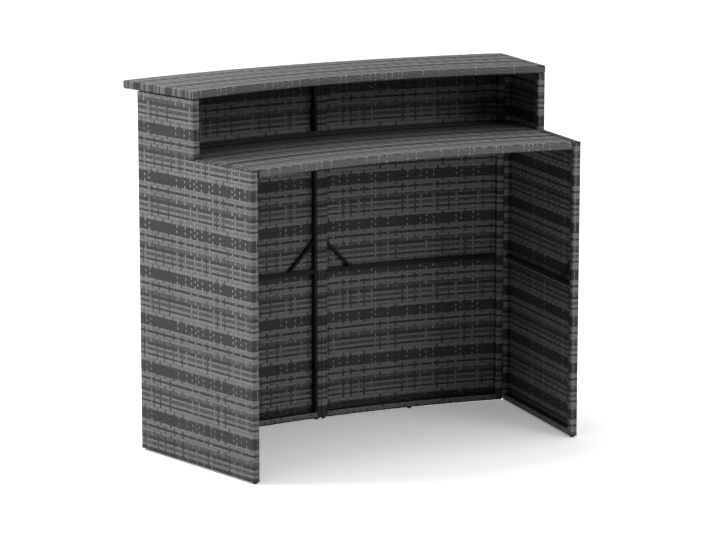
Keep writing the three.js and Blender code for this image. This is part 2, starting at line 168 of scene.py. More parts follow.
# One repeat of the rows from below: tone, breadth of the band, strips in it
RHYTHM = [
    (DARK, 0.0323, 4),
    (LIGHT, 0.0213, 2),
    (DARK, 0.0056, 1),
    (LIGHT, 0.0091, 1),
    (MIDDLE, 0.0091, 1),
    (LIGHT, 0.0071, 1),
    (DARK, 0.0091, 1),
    (MIDDLE, 0.0111, 1),
    (LIGHT, 0.0162, 2),
    (DARK, 0.0071, 1),
    (LIGHT, 0.0148, 2),
]
REPEAT = sum(breadth for tone, breadth, strips in RHYTHM)
FRONT_FIRST_DARK = 0.1533


def strip_finish(name, shade, faded, grooving=1.0, rim=0.5):
    """Drawn plastic strip, with its share of the full grooves, and rim: how much of its colour is left on
    its two rims under painted shade.
    """
    finish, tree, shader = new_finish(name)
    run = add(tree, "ShaderNodeAttribute", attribute_name="run").outputs["Vector"]

    def stretched(stretch):
        return add(tree, "ShaderNodeVectorMath", {0: run, 1: stretch}, operation="MULTIPLY").outputs[0]

    def noise(stretch):
        inputs = {"Vector": stretched(stretch), "Scale": 1.0, "Detail": 3.0}
        return add(tree, "ShaderNodeTexNoise", inputs).outputs["Fac"]

    # One strip differs a little from the next, and each fades slowly along its length
    apart = stretched((0.0, 0.0, 1.0))
    lot = add(tree, "ShaderNodeTexWhiteNoise", {"Vector": apart}, noise_dimensions="3D").outputs["Value"]
    fade = noise(FADE_SCALE)
    # The strip is drawn with fine grooves along it
    groove = noise(GROOVE_SCALE)
    depth = GROOVE_SHARE * grooving
    blend = 0.0
    for source, share in [(lot, LOT_SHARE), (fade, FADE_SHARE), (groove, depth)]:
        inputs = {0: source, 1: share, 2: blend}
        blend = add(tree, "ShaderNodeMath", inputs, operation="MULTIPLY_ADD").outputs[0]
    span = {"Value": blend, "From Min": SHADES_FROM + depth / 2, "From Max": SHADES_TO + depth / 2}
    ramp = add(tree, "ShaderNodeMapRange", span).outputs["Result"]
    tint = add(tree, "ShaderNodeMix", {"Factor": ramp, "A": shade, "B": faded}, data_type="RGBA")
    # Its rolled edges lie deeper; painted shade darkens them, standing for the shade in the grooves between
    # rows
    across = add(tree, "ShaderNodeAttribute", attribute_name="across").outputs["Fac"]
    across = add(tree, "ShaderNodeMath", {0: across}, operation="ABSOLUTE").outputs[0]
    span = {"Value": across, "From Min": PAINTED_RIM_SHADE_FROM, "From Max": PAINTED_RIM_SHADE_TO, "To Min": 1.0, "To Max": rim}
    painted_rim_shade = add(tree, "ShaderNodeMapRange", span).outputs["Result"]
    tint = add(tree, "ShaderNodeVectorMath", {0: tint.outputs["Result"], "Scale": painted_rim_shade}, operation="SCALE")
    tree.links.new(tint.outputs["Vector"], shader.inputs["Base Color"])
    gloss = add(tree, "ShaderNodeMapRange", {"Value": groove, "To Min": ROUGH_FROM, "To Max": ROUGH_TO})
    tree.links.new(gloss.outputs["Result"], shader.inputs["Roughness"])
    relief = {"Height": groove, "Strength": 0.6, "Distance": GROOVE_DEPTH * grooving}
    bump = add(tree, "ShaderNodeBump", relief)
    tree.links.new(bump.outputs["Normal"], shader.inputs["Normal"])
    shader.inputs["Specular IOR Level"].default_value = STRIP_SHEEN
    return finish


# Painted shade darkens the rims of every strip to half its colour, and those of the pale strand to 0.8 of
# it
strip_finishes = [
    strip_finish("charcoal strip", (0.032, 0.032, 0.033, 1), (0.049, 0.049, 0.050, 1)),
    strip_finish("slate strip", (0.069, 0.070, 0.071, 1), (0.101, 0.102, 0.103, 1)),
    strip_finish("ash strip", (0.143, 0.144, 0.145, 1), (0.232, 0.233, 0.234, 1)),
    strip_finish("pale strand", (0.235, 0.236, 0.237, 1), (0.310, 0.311, 0.312, 1), FAINT, rim=0.8),
]


# A ribbon's section is a hexagon, spread towards a flat oblong by this power
SECTION_POWER = 0.15


def weaving_tree():
    """Weave on a guide sheet: its map gives the run along the rows and the place across them, in metres."""
    tree = bpy.data.node_groups.new("weave on a sheet", "GeometryNodeTree")
    for name, kind in [
        ("Sheet", "Geometry"),
        ("Rows", "Object"),
        ("Row rings", "Object"),
        ("Strands", "Object"),
        ("Strand rings", "Object"),
        ("Sway", "Float"),
        ("Strip thickness", "Float"),
        ("Strand thickness", "Float"),
        ("Mirrored", "Bool"),
        *[(tone, "Material") for tone in TONE_INPUTS],
    ]:
        tree.interface.new_socket(name, in_out="INPUT", socket_type="NodeSocket" + kind)
    tree.interface.new_socket("Weave", in_out="OUTPUT", socket_type="NodeSocketGeometry")
    given = add(tree, "NodeGroupInput").outputs

    def math_of(operation, a, b, c=0.0):
        return add(tree, "ShaderNodeMath", {0: a, 1: b, 2: c}, operation=operation).outputs[0]

    def named(name, kind="FLOAT"):
        attribute = add(tree, "GeometryNodeInputNamedAttribute", {"Name": name}, data_type=kind)
        return attribute.outputs["Attribute"]

    def store(geometry, name, value, kind="FLOAT"):
        inputs = {"Geometry": geometry, "Name": name, "Value": value}
        kept = add(tree, "GeometryNodeStoreNamedAttribute", inputs, data_type=kind, domain="POINT")
        return kept.outputs["Geometry"]

    def draft(name):
        return add(tree, "GeometryNodeObjectInfo", {"Object": given[name]}).outputs["Geometry"]

    def ribbons(lines, rings):
        """A closed flat ribbon for each line, which keeps its rings and its places across and through."""
        size = add(tree, "GeometryNodeAttributeDomainSize", {"Geometry": rings}, component="MESH")
        spans = math_of("SUBTRACT", size.outputs["Point Count"], 1.0)
        blank = add(
            tree,
            "GeometryNodeMeshCylinder",
            {"Vertices": 6, "Side Segments": spans, "Radius": 1.0, "Depth": spans},
            fill_type="NGON",
        ).outputs["Mesh"]
        spot = add(tree, "GeometryNodeInputPosition").outputs[0]
        spot = add(tree, "ShaderNodeSeparateXYZ", {0: spot}).outputs
        ring = math_of("ROUND", math_of("MULTIPLY_ADD", spans, 0.5, spot["Z"]), 0.0)
        side = math_of("SIGN", spot["X"], 0.0)
        reach = math_of("POWER", math_of("ABSOLUTE", spot["X"], 0.0), SECTION_POWER)
        across = math_of("MULTIPLY", side, reach)
        through = math_of("DIVIDE", spot["Y"], math.sqrt(0.75))
        blank = store(blank, "ring", ring)
        blank = store(blank, "across", across)
        blank = store(blank, "through", through)
        points = add(tree, "GeometryNodeMeshToPoints", {"Mesh": lines}).outputs["Points"]
        laid = add(tree, "GeometryNodeInstanceOnPoints", {"Points": points, "Instance": blank})
        realized = add(tree, "GeometryNodeRealizeInstances", {"Geometry": laid.outputs["Instances"]})
        return realized.outputs["Geometry"]

    def at_ring(rings, name):
        inputs = {"Geometry": rings, "Value": named(name), "Index": named("ring")}
        options = {"data_type": "FLOAT", "domain": "POINT", "clamp": True}
        return add(tree, "GeometryNodeSampleIndex", inputs, **options).outputs["Value"]

    def on_sheet(value, place):
        sheet_map = named("map", "FLOAT_VECTOR")
        inputs = {"Mesh": given["Sheet"], "Value": value, "UV Map": sheet_map, "Sample UV": place}
        return add(tree, "GeometryNodeSampleUVSurface", inputs, data_type="FLOAT_VECTOR").outputs["Value"]

    def laid_on_sheet(geometry, along, across, height, run):
        place = add(tree, "ShaderNodeCombineXYZ", {0: along, 1: across}).outputs[0]
        surface = on_sheet(add(tree, "GeometryNodeInputPosition").outputs[0], place)
        outward = on_sheet(named("outward", "FLOAT_VECTOR"), place)
        outward = add(tree, "ShaderNodeVectorMath", {0: outward}, operation="NORMALIZE").outputs[0]
        raised = add(tree, "ShaderNodeVectorMath", {0: outward, "Scale": height}, operation="SCALE")
        both = {0: surface, 1: raised.outputs[0]}
        spot = add(tree, "ShaderNodeVectorMath", both, operation="ADD").outputs[0]
        geometry = store(geometry, "run", run, "FLOAT_VECTOR")
        moved = add(tree, "GeometryNodeSetPosition", {"Geometry": geometry, "Position": spot})
        return moved.outputs["Geometry"]

    half_breadth = math_of("MULTIPLY", named("breadth"), 0.5)
    off_middle = math_of("MULTIPLY", named("across"), half_breadth)

    row_rings = draft("Row rings")
    rows = ribbons(draft("Rows"), row_rings)
    along = at_ring(row_rings, "place")
    swing = math_of("MULTIPLY_ADD", at_ring(row_rings, "sway"), named("turn"), at_ring(row_rings, "press"))
    swing = math_of("MULTIPLY", swing, given["Sway"])
    swing = math_of("MULTIPLY_ADD", named("turn"), LEVEL_APART, swing)
    half = math_of("MULTIPLY", given["Strip thickness"], 0.5)
    height = math_of("MULTIPLY_ADD", named("through"), half, swing)
    run = add(tree, "ShaderNodeCombineXYZ", {0: along, 1: off_middle, 2: named("lot")}).outputs[0]
    rows = laid_on_sheet(rows, along, math_of("ADD", named("place"), off_middle), height, run)

    strand_rings = draft("Strand rings")
    strands = ribbons(draft("Strands"), strand_rings)
    along = at_ring(strand_rings, "place")
    height = math_of("MULTIPLY", named("through"), math_of("MULTIPLY", given["Strand thickness"], 0.5))
    run = add(tree, "ShaderNodeCombineXYZ", {0: along, 1: off_middle, 2: named("lot")}).outputs[0]
    strands = laid_on_sheet(strands, math_of("SUBTRACT", named("place"), off_middle), along, height, run)

    joined = add(tree, "GeometryNodeJoinGeometry")
    tree.links.new(rows, joined.inputs[0])
    tree.links.new(strands, joined.inputs[0])
    turned = {"Mesh": joined.outputs[0], "Selection": given["Mirrored"]}
    woven = add(tree, "GeometryNodeFlipFaces", turned).outputs[0]
    woven = add(tree, "GeometryNodeSetShadeSmooth", {"Geometry": woven}).outputs[0]
    for tone, name in enumerate(TONE_INPUTS):
        inputs = {0: named("tone"), 1: float(tone), "Epsilon": 0.1}
        chosen = add(tree, "FunctionNodeCompare", inputs, data_type="FLOAT", operation="EQUAL").outputs[0]
        inputs = {"Geometry": woven, "Selection": chosen, "Material": given[name]}
        woven = add(tree, "GeometryNodeSetMaterial", inputs).outputs[0]
    add(tree, "NodeGroupOutput", {0: woven})
    return tree


weave_on_sheet = weaving_tree()
weave_inputs = {
    item.name: item.identifier
    for item in weave_on_sheet.interface.items_tree
    if item.item_type == "SOCKET" and item.in_out == "INPUT"
}


SHARP_TURN = 0.3
ROUND_STEPS = 4
TINY = 1e-6


def wound(corners, side=1, rounds=()):
    """(point, outward, run) along a path whose sharp turns are rounded, and the runs of each turn.
    Rounds holds a radius for each sharp turn, where they are not all CORNER."""
    points = [corners[0]]
    turns = []
    for before, here, after in zip(corners, corners[1:], corners[2:]):
        back = (before - here).normalized()
        on = (after - here).normalized()
        turn = math.pi - back.angle(on)
        if turn < SHARP_TURN:
            points.append(here)
            continue
        reach = (rounds[len(turns)] if rounds else CORNER) * math.tan(turn / 2)
        turns.append((len(points), len(points) + ROUND_STEPS))
        for t in [i / ROUND_STEPS for i in range(ROUND_STEPS + 1)]:
            points.append(here + back * reach * (1 - t) ** 2 + on * reach * t**2)
    points.append(corners[-1])
    columns = []
    run = 0.0
    for i, point in enumerate(points):
        heading = (points[min(i + 1, len(points) - 1)] - points[max(i - 1, 0)]).normalized()
        run += (point - points[i - 1]).length if i else 0.0
        columns.append((point, Vector((heading.y, -heading.x)) * side, run))
    bends = [(columns[a][2], columns[b][2]) for a, b in turns]
    return columns[:1] + [b for a, b in zip(columns, columns[1:]) if b[2] - a[2] > TINY], bends


def between(columns, low, high):
    """The columns from one run to another, the end ones carried on straight where they lie outside."""
    def at(run):
        i = 0
        while i < len(columns) - 2 and columns[i + 1][2] < run:
            i += 1
        (a, out_a, run_a), (b, out_b, run_b) = columns[i], columns[i + 1]
        f = (run - run_a) / (run_b - run_a)
        return a + (b - a) * f, out_a + (out_b - out_a) * min(max(f, 0.0), 1.0), run

    return [at(low)] + [c for c in columns if low < c[2] < high] + [at(high)]


def standing(columns, profile):
    """Grid of a sheet that follows columns on plan and a profile of (depth, height) across them."""
    return [
        [
            (
                Vector((*(point - out * across.x), across.y)),
                Vector((*(out * -facing.x), facing.y)),
                run,
                place,
            )
            for across, facing, place in profile
        ]
        for point, out, run in columns
    ]


def guide_sheet(grid, mirror):
    """The grid as a mesh that carries its map and which way is outward."""
    tall = len(grid[0])
    flip = Vector((-1 if mirror else 1, 1, 1))
    cells = [cell for column in grid for cell in column]
    faces = [
        (i * tall + j, (i + 1) * tall + j, (i + 1) * tall + j + 1, i * tall + j + 1)
        for i in range(len(grid) - 1)
        for j in range(tall - 1)
    ]
    mesh = bpy.data.meshes.new("guide")
    mesh.from_pydata([cell[0] * flip for cell in cells], [], faces)
    sheet_map = mesh.uv_layers.new(name="map")
    for loop in mesh.loops:
        sheet_map.data[loop.index].uv = cells[loop.vertex_index][2:]
    outward = mesh.attributes.new("outward", "FLOAT_VECTOR", "POINT")
    for i, cell in enumerate(cells):
        outward.data[i].vector = cell[1] * flip
    return mesh


GRID_MARGIN = 0.002


def with_margin(grid):
    """The grid carried on straight a little past each edge, so that a row's edge still finds it."""
    def beyond(cell, inner, axis):
        f = -GRID_MARGIN / abs(cell[axis] - inner[axis])
        far = list(cell)
        far[0] = cell[0] + (inner[0] - cell[0]) * f
        far[axis] = cell[axis] + (inner[axis] - cell[axis]) * f
        return tuple(far)

    tall = [[beyond(c[0], c[1], 3), *c, beyond(c[-1], c[-2], 3)] for c in grid]
    first = [beyond(a, b, 2) for a, b in zip(tall[0], tall[1])]
    last = [beyond(a, b, 2) for a, b in zip(tall[-1], tall[-2])]
    return [first, *tall, last]


def put(name, data):
    thing = bpy.data.objects.new(name, data)
    bpy.context.scene.collection.objects.link(thing)
    return thing


def draft_points(**columns):
    """An object of loose points that hands the rows, strands or rings to the weaving tree."""
    mesh = bpy.data.meshes.new("draft")
    mesh.vertices.add(len(next(iter(columns.values()))))
    for name, values in columns.items():
        mesh.attributes.new(name, "FLOAT", "POINT").data.foreach_set("value", values)
    return put("draft", mesh)


SLIVER = 0.0025


def rows_between(low, high, first_dark, banded=False):
    """(place, breadth, tone, turn) of each row between two places. Rows, or whole bands, turn by turns."""
    rows = []
    turn = 1.0
    edge = first_dark - math.ceil((first_dark - low) / REPEAT) * REPEAT
    while edge < high:
        for tone, breadth, strips in RHYTHM:
            turn = -turn if banded else turn
            for strip in range(strips):
                turn = turn if banded else -turn
                a, b = max(edge, low), min(edge + breadth / strips, high)
                edge += breadth / strips
                # A sliver at either end is left to the row beside it
                a = low if a - low < SLIVER else a
                b = high if high - b < SLIVER else b
                if b - a > SLIVER:
                    rows.append(((a + b) / 2, b - a, tone, turn))
    return rows


def plain_rows(low, high, breadth, *tones):
    """Rows of one breadth, whose tones follow each other in equal shares."""
    count = max(1, round((high - low) / breadth))
    step = (high - low) / count
    return [
        (low + (i + 0.5) * step, step, tones[i * len(tones) // count], 1.0 if i % 2 else -1.0)
        for i in range(count)
    ]


STRAND_BREADTH = (0.0040, 0.0050)
STRAND_GAP = (0.012, 0.028)
FIRST_STRAND_GAP = (0.006, 0.012)
LAST_STRAND_GAP = 0.005


def strands_between(low, high, light, dice):
    """(place, breadth, tone) of strands at the weaver's uneven spacing, a given share of them light."""
    strands = []
    place = low + dice.uniform(*FIRST_STRAND_GAP)
    while place < high - LAST_STRAND_GAP:
        strands.append((place, dice.uniform(*STRAND_BREADTH), PALE if dice.random() < light else DARK))
        place += dice.uniform(*STRAND_GAP)
    return strands


ROW_LAP = 1.10
STRAND_CLEARANCE = 0.004
ROW_LOTS = (0, 90)
STRAND_LOTS = (100, 190)


def woven_sheet(grid, turns, rows, strands, mirror, dice, finishes=strip_finishes, sway=SWAY, bound=()):
    """One sheet of weave as a plain mesh: rows along the grid's columns, strands across them.
    Turns are the runs of its rounded bends, and a bound strand lies over all the rows."""
    low, high = grid[0][0][2], grid[-1][0][2]
    standing_strands = [s for s in strands if low + STRAND_CLEARANCE < s[0] < high - STRAND_CLEARANCE]
    rings = [(low, 0.0, 0.0), (high, 0.0, 0.0)]
    for first, last in turns:
        rings += [(first + (last - first) * i / ROUND_STEPS, 0.0, 0.0) for i in range(ROUND_STEPS + 1)]
    for place, breadth, tone in standing_strands:
        way = 1.0 if strands.index((place, breadth, tone)) % 2 else -1.0
        ring = (0.0, -1.0) if (place, breadth, tone) in bound else (way, 0.0)
        rings += [(place - PLATEAU, *ring), (place + PLATEAU, *ring)]
    rings = sorted(ring for ring in rings if low <= ring[0] <= high)
    sketches = {
        "Rows": draft_points(
            place=[r[0] for r in rows],
            breadth=[r[1] * ROW_LAP for r in rows],
            tone=[float(r[2]) for r in rows],
            turn=[r[3] for r in rows],
            lot=[dice.uniform(*ROW_LOTS) for r in rows],
        ),
        "Row rings": draft_points(
            place=[r[0] for r in rings],
            sway=[r[1] for r in rings],
            press=[r[2] for r in rings],
        ),
        "Strands": draft_points(
            place=[s[0] for s in standing_strands],
            breadth=[s[1] for s in standing_strands],
            tone=[float(s[2]) for s in standing_strands],
            lot=[dice.uniform(*STRAND_LOTS) for s in standing_strands],
        ),
        "Strand rings": draft_points(place=[cell[3] for cell in grid[0]]),
    }
    guide = put("guide", guide_sheet(with_margin(grid), mirror))
    weave = guide.modifiers.new("weave", "NODES")
    weave.node_group = weave_on_sheet
    for name, sketch in sketches.items():
        weave[weave_inputs[name]] = sketch
    weave[weave_inputs["Sway"]] = sway
    weave[weave_inputs["Strip thickness"]] = STRIP_THICKNESS
    weave[weave_inputs["Strand thickness"]] = STRAND_THICKNESS * sway / SWAY
    weave[weave_inputs["Mirrored"]] = mirror
    for name, finish in zip(TONE_INPUTS, finishes):
        weave[weave_inputs[name]] = finish
    graph = bpy.context.evaluated_depsgraph_get()
    done = guide.evaluated_get(graph)
    mesh = bpy.data.meshes.new_from_object(done, preserve_all_data_layers=True, depsgraph=graph)
    guide.modifiers.remove(weave)
    for scrap in [guide, *sketches.values()]:
        bpy.data.objects.remove(scrap)
    for name in ["ring", "through", "place", "breadth", "tone", "turn"]:
        if name in mesh.attributes:
            mesh.attributes.remove(mesh.attributes[name])
    return mesh


def woven_skin(name, meshes, body, node):
    """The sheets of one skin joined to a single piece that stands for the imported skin."""
    parts = [put(name, mesh) for mesh in meshes]
    skin = parts[0]
    with bpy.context.temp_override(active_object=skin, object=skin, selected_editable_objects=parts):
        bpy.ops.object.join()
    skin.name = name
    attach(skin, body)
    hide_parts(node)


corner = Vector((-WIDTH / 2, cad_high.y - COUNTER_OVERHANG * math.cos(WING_ANGLE) - COUNTER_FAR_BOW))
along_wing = Vector((math.sin(WING_ANGLE), -math.cos(WING_ANGLE)))
into_wing = Vector((math.cos(WING_ANGLE), math.sin(WING_ANGLE)))


def wing_point(u, n):
    return corner + along_wing * u + into_wing * n


def meet(centre, radius, n):
    """Where the line at a constant depth behind the left wing's face meets a circle round (0, centre)."""
    start = wing_point(0, n) - Vector((0, centre))
    along = start.dot(along_wing)
    return wing_point(-along - math.sqrt(along * along - start.length_squared + radius * radius), n)


def arc(centre, radius, start, end, steps):
    a = math.atan2(start.y - centre, start.x)
    b = math.atan2(end.y - centre, end.x)
    angles = [a + (b - a) * i / steps for i in range(steps + 1)]
    return [Vector((radius * math.cos(t), centre + radius * math.sin(t))) for t in angles]


SEAM_ROUND = 0.0015
SEAM_SWELL = 0.0009
GAP_SWELL = 0.0004
RIM_INSET = 0.0010
COVERED_ROUND = 0.0015
POST_SIDE = LIP + 0.0011
POST_SIDE_END = 0.0035
EDGE_STRIP = 0.0075
FRONT_STEPS = 40
FRONT_LIGHT_SHARE = 0.55
panel_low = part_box("front_left_skin")[0].z
panel_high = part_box("front_left_skin")[1].z
front_centre = wing_point(0, PANEL + HINGE_GAP)
front_centre = front_centre.y - math.sqrt(FRONT_RADIUS**2 - front_centre.x**2)


def panel_edges(columns, edges, strands, mirror, dice):
    """The weave over the level edges of a panel, down the server's side of their rails and over their
    corners. An edge has its level, 1 for a top or -1 for a bottom, the runs of its rim and of its lip,
    and its end faces."""
    meshes = []
    deep = PANEL - 2 * INSET
    for level, rise, rim, lip, ends in edges:
        high = level - rise * RIM_INSET
        round_off = COVERED_ROUND if level == panel_high else CORNER
        low = high - rise * round_off
        over = [Vector((0, low)), Vector((0, high)), Vector((deep, high)), Vector((deep, low))]
        down = [Vector((deep, low)), Vector((deep, level - rise * LIP))]
        cap = [Vector((-LAP, low)), Vector((-LAP, high + rise * LAP)), Vector((CORNER, high + rise * LAP))]
        straight = between(between(columns, *rim), rim[0] - CORNER, rim[1] + CORNER)
        sheets = [(straight, over, MIDDLE), (between(columns, *lip), down, LIGHT)]
        for end in ends:
            across = between(end, end[0][2] - CORNER, end[-1][2] + CORNER)
            sheets.append((across, cap, MIDDLE))
        for lot, path, tone in sheets:
            profile = wound(path[::rise], -1, (round_off, round_off))[0]
            rows = plain_rows(0, profile[-1][2], EDGE_STRIP, tone)
            meshes.append(woven_sheet(standing(lot, profile), [], rows, strands, mirror, dice))
    return meshes


def front_half(side, seam_lip, mirror):
    dice = random.Random(f"front {side}")
    seam = HINGE_GAP / 2
    inner = FRONT_RADIUS - PANEL + INSET
    outer = FRONT_RADIUS - INSET

    def at_seam(radius, inset):
        return Vector((-(seam + inset), front_centre + math.sqrt(radius**2 - (seam + inset) ** 2)))

    def at_wing(radius, inset):
        return meet(front_centre, radius, PANEL + HINGE_GAP + inset)

    seam_side, wing_side = at_seam(outer, -GAP_SWELL), at_wing(outer, -GAP_SWELL)
    face = arc(front_centre, outer, seam_side, wing_side, FRONT_STEPS)
    inside = [at_seam(inner, -SEAM_SWELL), *face, at_wing(inner, -GAP_SWELL)]
    end_post = [at_wing(inner, POST_SIDE), at_wing(FRONT_RADIUS - POST_SIDE_END, POST_SIDE)]
    path = [at_seam(inner, seam_lip), *inside, *end_post]
    columns, turns = wound(path, 1, (SEAM_ROUND, CORNER, CORNER, CORNER, CORNER))
    start, end = turns[1][1], turns[2][0]
    strands = strands_between(start, end, FRONT_LIGHT_SHARE, dice)
    levels = (panel_low + INSET + CORNER, panel_high - INSET - COVERED_ROUND)
    profile = [(Vector((0, z)), Vector((-1, 0)), z) for z in levels]
    rows = rows_between(profile[0][2], profile[1][2], FRONT_FIRST_DARK)
    meshes = [woven_sheet(standing(columns, profile), turns, rows, strands, mirror, dice)]
    seam_end = between(columns, turns[0][1] + CORNER - SEAM_ROUND, turns[1][0])
    ends = [seam_end, between(columns, turns[2][1], turns[3][0])]
    lip = (start + seam_lip - CORNER, end - LIP + CORNER)
    edges = [(panel_low, -1, (start, end), lip, ends), (panel_high, 1, (start, end), lip, ends)]
    meshes += panel_edges(columns, edges, strands, mirror, dice)
    woven_skin(f"front_{side}_weave", meshes, f"front_{side}", f"front_{side}_skin")


front_half("left", seam_lip=0.0125, mirror=False)
front_half("right", seam_lip=0.0190, mirror=True)


# Wings: a stepped panel at each end of the front, high beside the counter and low beside the worktop.
# The same rows run round its two uprights, and the step and the edges are wrapped over their tubes.
WING_LENGTH = 0.540
WING_UPPER_LENGTH = 0.272
WORKTOP_HEIGHT = 0.904
WING_STEP = 0.02

# Strands at the two ends of a wing: how far in from the end, breadth, tone. The others stand between.
FAR_STRANDS = [(0.016, 0.0045, DARK)]
NEAR_STRANDS = [(0.027, 0.0040, PALE), (0.009, 0.0040, MIDDLE)]
STRANDS_FROM, STRANDS_TO = 0.020, 0.036

# Pale strand down the end face of a wing, beside its inner corner and over all the rows
EDGE_STRAND = 0.0036
EDGE_CLEARANCE = 0.005


def wing_columns(length):
    low, high = INSET, PANEL - INSET
    steps = round(length / WING_STEP)
    far, near = wing_point(INSET, low), wing_point(length - INSET, low)
    face = [far + (near - far) * i / steps for i in range(steps + 1)]
    far_post = [wing_point(POST_SIDE, POST_SIDE_END), wing_point(POST_SIDE, high), wing_point(INSET, high)]
    near_post = [wing_point(length - INSET, high), wing_point(length - LIP, high)]
    return wound([*far_post, *face, *near_post])


def wing(side, first_dark, light, mirror):
    dice = random.Random(f"wing {side}")
    columns, turns = wing_columns(WING_LENGTH)
    start, end = turns[2][1], turns[3][0]
    strands = [(start + inset, *strand) for inset, *strand in FAR_STRANDS]
    strands += strands_between(start + STRANDS_FROM, end - STRANDS_TO, light, dice)
    strands += [(end - inset, *strand) for inset, *strand in NEAR_STRANDS]
    upper_columns, upper_turns = wing_columns(WING_UPPER_LENGTH)
    step = upper_turns[3][0]
    meshes = []
    for lot, bends, low, high in [
        (columns, turns, panel_low + INSET + CORNER, WORKTOP_HEIGHT - INSET - CORNER),
        (upper_columns, upper_turns, WORKTOP_HEIGHT - INSET - CORNER, panel_high - INSET - COVERED_ROUND),
    ]:
        profile = [(Vector((0, z)), Vector((-1, 0)), z) for z in (low, high)]
        rows = rows_between(low, high, first_dark)
        own = [s for s in strands if s[0] < bends[3][0] - EDGE_CLEARANCE]
        edge_strand = (bends[4][0] - EDGE_STRAND / 2, EDGE_STRAND, PALE)
        sheet = (standing(lot, profile), bends, rows, [*own, edge_strand], mirror, dice)
        meshes.append(woven_sheet(*sheet, bound=[edge_strand]))
    far_end = between(columns, turns[1][1], turns[2][0])
    near_end = between(columns, turns[3][1], turns[4][0])
    upper_end = between(upper_columns, upper_turns[3][1], upper_turns[4][0])
    far_lip, step_lip, near_lip = start + LIP - CORNER, step - LIP + CORNER, end - LIP + CORNER
    edges = [
        (panel_low, -1, (start, end), (far_lip, near_lip), [far_end, near_end]),
        (panel_high, 1, (start, step), (far_lip, step_lip), [far_end, upper_end]),
        (WORKTOP_HEIGHT, 1, (step + 2 * CORNER, end), (step_lip, near_lip), [near_end]),
    ]
    meshes += panel_edges(columns, edges, strands, mirror, dice)
    woven_skin(f"wing_{side}_weave", meshes, f"wing_{side}", f"wing_{side}_skin")


wing("left", first_dark=0.100, light=0.65, mirror=False)
wing("right", first_dark=0.056, light=0.15, mirror=True)


# Hinges: pressed steel leaves, blackened, that turn on a pin at each joint of the panels. Bolts hold them
# to the posts of the front, with hexagon nuts on the bare side of each post, and rivets hold them to the
# far posts of the wings.
blackened = speckled_finish(
    "blackened steel",
    (0.030, 0.031, 0.033, 1),
    (0.075, 0.076, 0.078, 1),
    patch=60.0,
    grain=900.0,
    relief=0.00005,
    roughness=0.42,
    metallic=0.8,
)
dress([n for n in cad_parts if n.endswith("_leaf")], blackened)


# Feet: moulded black plastic glides under the seam posts, the near posts of the wings and the middle of
# each bottom rail of the front. The stem of each is pushed into the tube above it.
moulded = speckled_finish(
    "black moulded plastic",
    (0.012, 0.012, 0.012, 1),
    (0.020, 0.020, 0.020, 1),
    patch=30.0,
    grain=1500.0,
    relief=0.00006,
    roughness=0.62,
)
dress([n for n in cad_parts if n.endswith("_foot")], moulded)


# Tops: the worktop lies between the wings on two angle ledges, and the counter lies over the front and
# the wings. Both are woven along their length on a tube frame, and the rows turn down over the two ends.
COUNTER_NEAR_BOW = 0.092
WORKTOP_NEAR_BOW = 0.065
WORKTOP_END = PANEL + 0.003
WORKTOP_FRONT_GAP = 0.0025
TOP_LIP = 0.0215
TOP_INSET = 0.0008
TOP_SWAY = 0.00028
TOP_RUN_IN = 0.030
TOP_STEPS = 60
TOP_LIGHT_SHARE = 0.5
TOP_EDGE_STRIP = 0.0073
TOP_EDGE_TONES = (DARK, DARK, DARK, LIGHT)

top_finishes = [
    strip_finish("charcoal top strip", (0.032, 0.032, 0.033, 1), (0.048, 0.048, 0.049, 1), FAINT),
    strip_finish("slate top strip", (0.063, 0.064, 0.065, 1), (0.094, 0.095, 0.096, 1), FAINT),
    strip_finish("ash top strip", (0.130, 0.131, 0.132, 1), (0.192, 0.193, 0.194, 1), FAINT),
    strip_finishes[PALE],
]
# Painted light: the near and far edge faces of the tops are woven in lighter copies of the top strips.
# Their dark rows are in slate, and their rims carry less painted shade, standing for light on those faces.
edge_finishes_painted_lighter = [
    strip_finish("slate edge strip painted lighter", (0.102, 0.103, 0.104, 1), (0.142, 0.143, 0.144, 1), FAINT, rim=0.8),
    top_finishes[MIDDLE],
    strip_finish("ash edge strip painted lighter", (0.158, 0.159, 0.160, 1), (0.220, 0.221, 0.222, 1), FAINT, rim=0.9),
    strip_finishes[PALE],
]


def circle_through(point, bow):
    """Centre and radius of the arc from a point at the left to its mirror image, bowed out by so much."""
    radius = (point.x**2 + bow**2) / (2 * bow)
    return point.y + bow - radius, radius


def mirrored(point):
    return Vector((-point.x, point.y))


